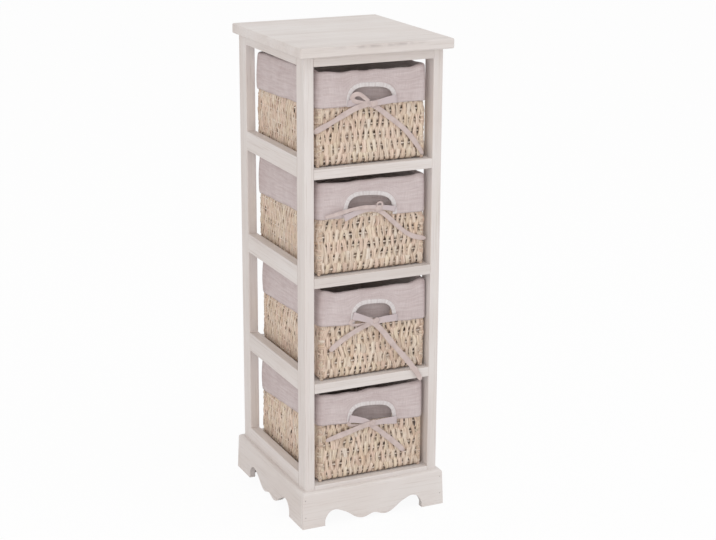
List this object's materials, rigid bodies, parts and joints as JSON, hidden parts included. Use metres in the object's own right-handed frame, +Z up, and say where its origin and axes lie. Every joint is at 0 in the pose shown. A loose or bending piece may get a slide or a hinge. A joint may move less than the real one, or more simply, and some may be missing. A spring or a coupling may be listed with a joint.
{
  "type": "basket drawer unit",
  "caption": "Narrow whitewashed wooden stand with pull-out woven husk baskets, each with a cloth liner folded over its rim and tied with ribbons, for storage in a bathroom.",
  "frame": {"origin": "on the floor under the middle of the unit's overall width and depth", "axes": "+Z up, the baskets' fronts look along -Y, +X to the right of someone facing the front"},
  "size_m": [0.26, 0.2956, 0.784],
  "materials": {
    "wood": "whitewashed, matt",
    "dowel_wood": "plain beech",
    "steel": "plain steel",
    "husk": "woven dry husk",
    "liner_cloth": "plain cotton, mauve grey",
    "binding_cloth": "white cotton tape",
    "ribbon": "cotton tape, pale mauve"
  },
  "bodies": {
    "stand": {"top_board": "wood", "post_front_left": "wood", "post_front_right": "wood", "post_rear_left": "wood", "post_rear_right": "wood", "front_rail_1": "wood", "front_rail_2": "wood", "front_rail_3": "wood", "front_rail_4": "wood", "front_rail_5": "wood", "rear_rail_1": "wood", "rear_rail_2": "wood", "rear_rail_3": "wood", "rear_rail_4": "wood", "rear_rail_5": "wood", "left_rail_1": "wood", "left_rail_2": "wood", "left_rail_3": "wood", "left_rail_4": "wood", "left_rail_5": "wood", "right_rail_1": "wood", "right_rail_2": "wood", "right_rail_3": "wood", "right_rail_4": "wood", "right_rail_5": "wood", "apron_front": "wood", "apron_rear": "wood", "apron_left": "wood", "apron_right": "wood", "runners_1": "wood", "runners_2": "wood", "runners_3": "wood", "runners_4": "wood", "dowel_pins": "dowel_wood", "brad_pins": "steel"},
    "basket_1": {"basket_weave_1": "husk", "basket_wire_1": "steel", "liner_1": "liner_cloth", "cuff_binding_1": "binding_cloth", "tie_left_1": "ribbon", "tie_right_1": "ribbon"},
    "basket_2": {"basket_weave_2": "husk", "basket_wire_2": "steel", "liner_2": "liner_cloth", "cuff_binding_2": "binding_cloth", "tie_left_2": "ribbon", "tie_right_2": "ribbon"},
    "basket_3": {"basket_weave_3": "husk", "basket_wire_3": "steel", "liner_3": "liner_cloth", "cuff_binding_3": "binding_cloth", "tie_left_3": "ribbon", "tie_right_3": "ribbon"},
    "basket_4": {"basket_weave_4": "husk", "basket_wire_4": "steel", "liner_4": "liner_cloth", "cuff_binding_4": "binding_cloth", "tie_left_4": "ribbon", "tie_right_4": "ribbon"}
  },
  "joints": [
    {"name": "basket_1_slide", "type": "slide", "parent": "stand", "child": "basket_1", "axis": [0, -1, 0], "range_m": [0, 0.25]},
    {"name": "basket_2_slide", "type": "slide", "parent": "stand", "child": "basket_2", "axis": [0, -1, 0], "range_m": [0, 0.25]},
    {"name": "basket_3_slide", "type": "slide", "parent": "stand", "child": "basket_3", "axis": [0, -1, 0], "range_m": [0, 0.25]},
    {"name": "basket_4_slide", "type": "slide", "parent": "stand", "child": "basket_4", "axis": [0, -1, 0], "range_m": [0, 0.25]}
  ]
}
